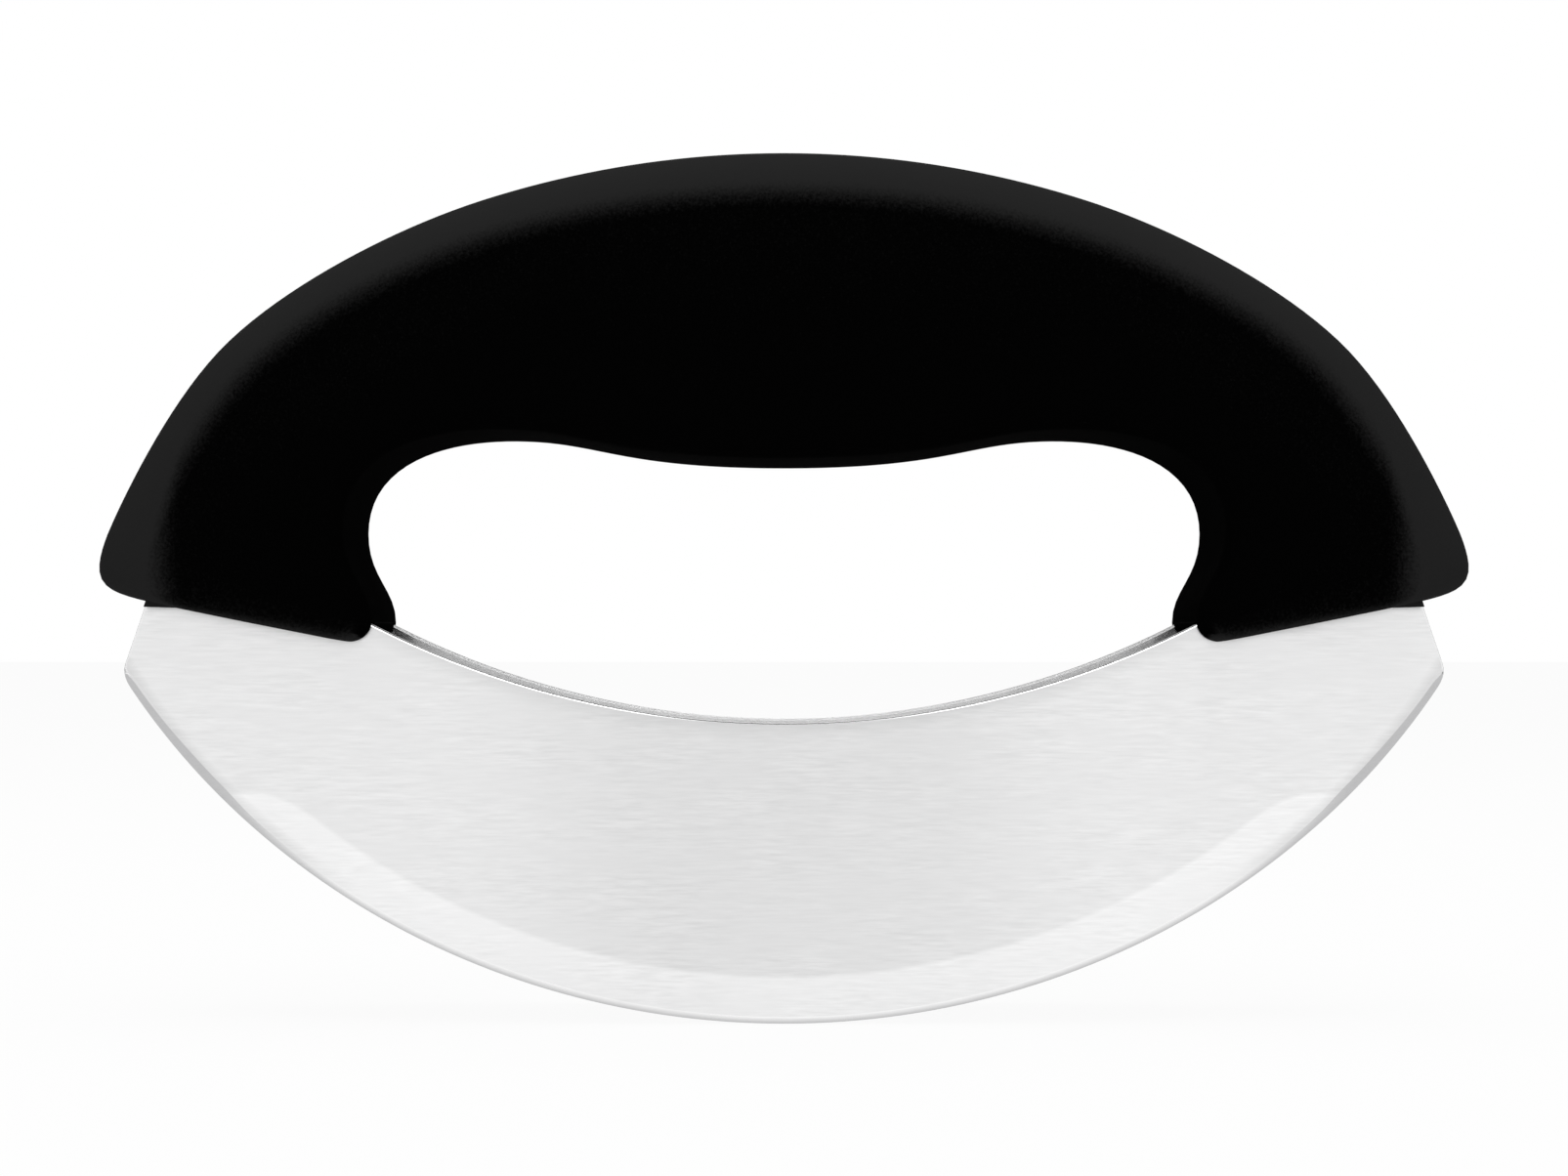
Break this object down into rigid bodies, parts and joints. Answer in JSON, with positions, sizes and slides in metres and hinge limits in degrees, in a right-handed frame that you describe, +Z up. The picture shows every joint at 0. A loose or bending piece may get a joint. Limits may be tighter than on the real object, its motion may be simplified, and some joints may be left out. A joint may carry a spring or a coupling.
{
  "type": "double mezzaluna",
  "caption": "Double mezzaluna for rocking over herbs: curved brushed-steel blades side by side under a black moulded bridge handle with a hand hole.",
  "frame": {"origin": "midway between the lowest points of the two cutting edges, at the base of the part", "axes": "+Z up through the middle of the grip, X along the blades, Y across the pair of blades"},
  "size_m": [0.1896, 0.025, 0.12],
  "materials": {
    "handle": "satin black moulded plastic with a fine grain",
    "blades": "stainless steel with fine brushing along the blade and a brighter broad grind"
  },
  "bodies": {
    "root": {"handle": "handle", "front_blade": "blades", "rear_blade": "blades"}
  },
  "joints": []
}
